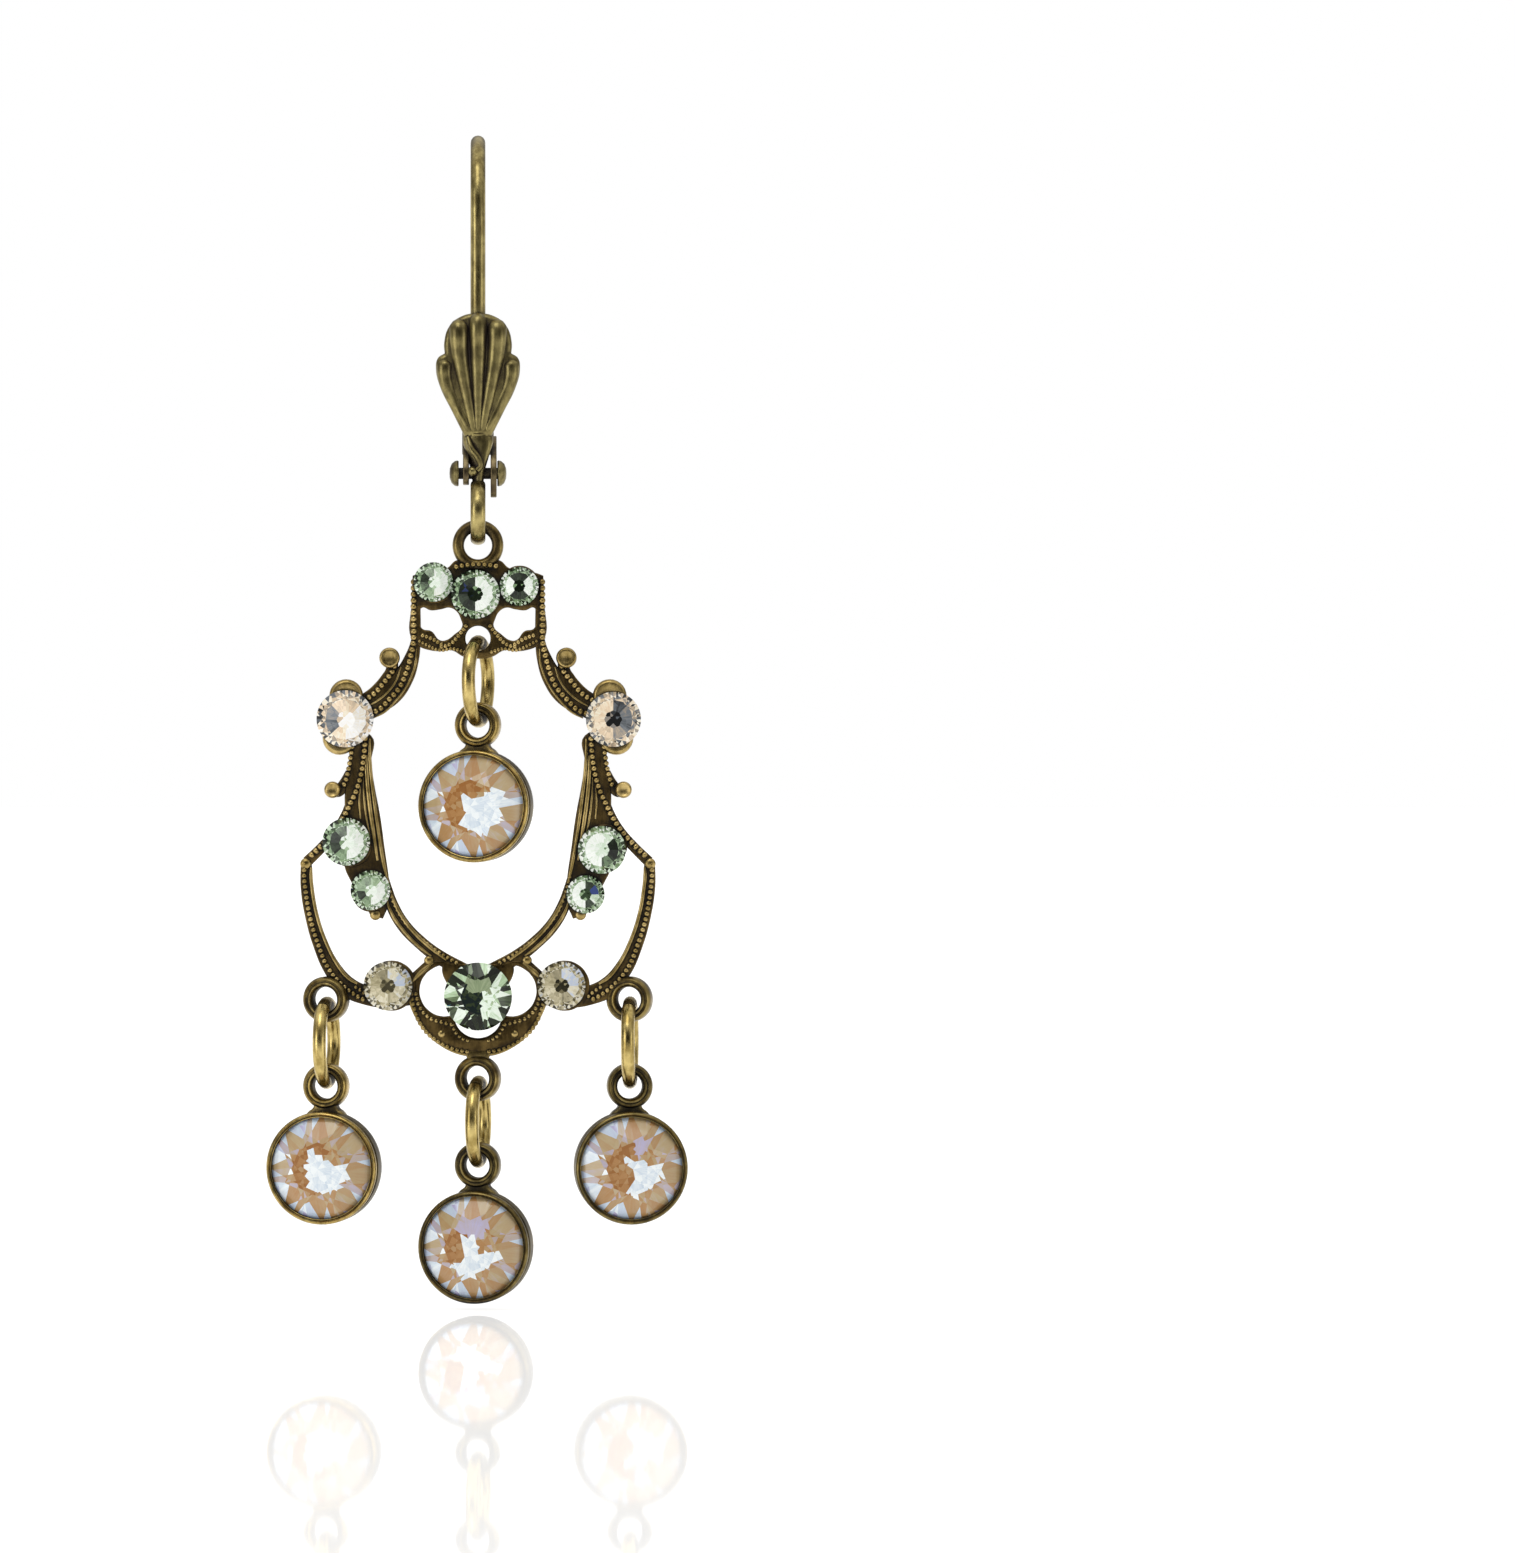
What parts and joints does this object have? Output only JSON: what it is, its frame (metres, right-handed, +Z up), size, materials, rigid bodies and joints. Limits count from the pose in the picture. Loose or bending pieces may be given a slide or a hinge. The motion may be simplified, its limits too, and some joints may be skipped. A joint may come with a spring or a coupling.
{
  "type": "chandelier earring",
  "caption": "Lever-back chandelier earring in antiqued brass: a fluted ear wire carries a beaded scrollwork frame set with crystals, hung with round crystal drops.",
  "frame": {"origin": "centre line of the ear wire at the top of its bend, where the lobe carries it", "axes": "+Z up along the hanging earring, -Y the front with the crystals, +X to the viewer's right"},
  "size_m": [0.0253, 0.0123, 0.0703],
  "materials": {
    "wire_brass": "antiqued, satin",
    "cast_brass": "antiqued, dark in the recesses",
    "link_brass": "polished",
    "mint_crystal": "faceted, foil backed",
    "clear_crystal": "faceted, foil backed",
    "champagne_crystal": "faceted, foil backed",
    "moss_crystal": "faceted, foil backed",
    "peach_crystal": "faceted, lacquered back"
  },
  "bodies": {
    "wire": {"ear_wire": "wire_brass", "hinge_rivet": "wire_brass"},
    "lever": {"lever": "wire_brass"},
    "chandelier": {"frame": "cast_brass", "crystal_top_left": "mint_crystal", "crystal_top_centre": "mint_crystal", "crystal_top_right": "mint_crystal", "crystal_side_left": "clear_crystal", "crystal_side_right": "clear_crystal", "crystal_hip_left": "mint_crystal", "crystal_hip_right": "mint_crystal", "crystal_low_left": "mint_crystal", "crystal_low_right": "mint_crystal", "crystal_swag_left": "champagne_crystal", "crystal_swag_right": "champagne_crystal", "crystal_centre": "moss_crystal", "jump_ring_middle": "link_brass", "setting_middle": "cast_brass", "crystal_middle": "peach_crystal", "jump_ring_left": "link_brass", "setting_left": "cast_brass", "crystal_left": "peach_crystal", "jump_ring_foot": "link_brass", "setting_foot": "cast_brass", "crystal_foot": "peach_crystal", "jump_ring_right": "link_brass", "setting_right": "cast_brass", "crystal_right": "peach_crystal"}
  },
  "joints": [
    {"name": "lever_hinge", "type": "hinge", "parent": "wire", "child": "lever", "pos_m": [0, -0.0044, -0.0202], "axis": [-1, 0, 0], "range_deg": [0, 65]},
    {"name": "frame_sway", "type": "hinge", "parent": "wire", "child": "chandelier", "pos_m": [0, -0.0044, -0.02417], "axis": [0, 1, 0], "range_deg": [-50, 50]}
  ]
}
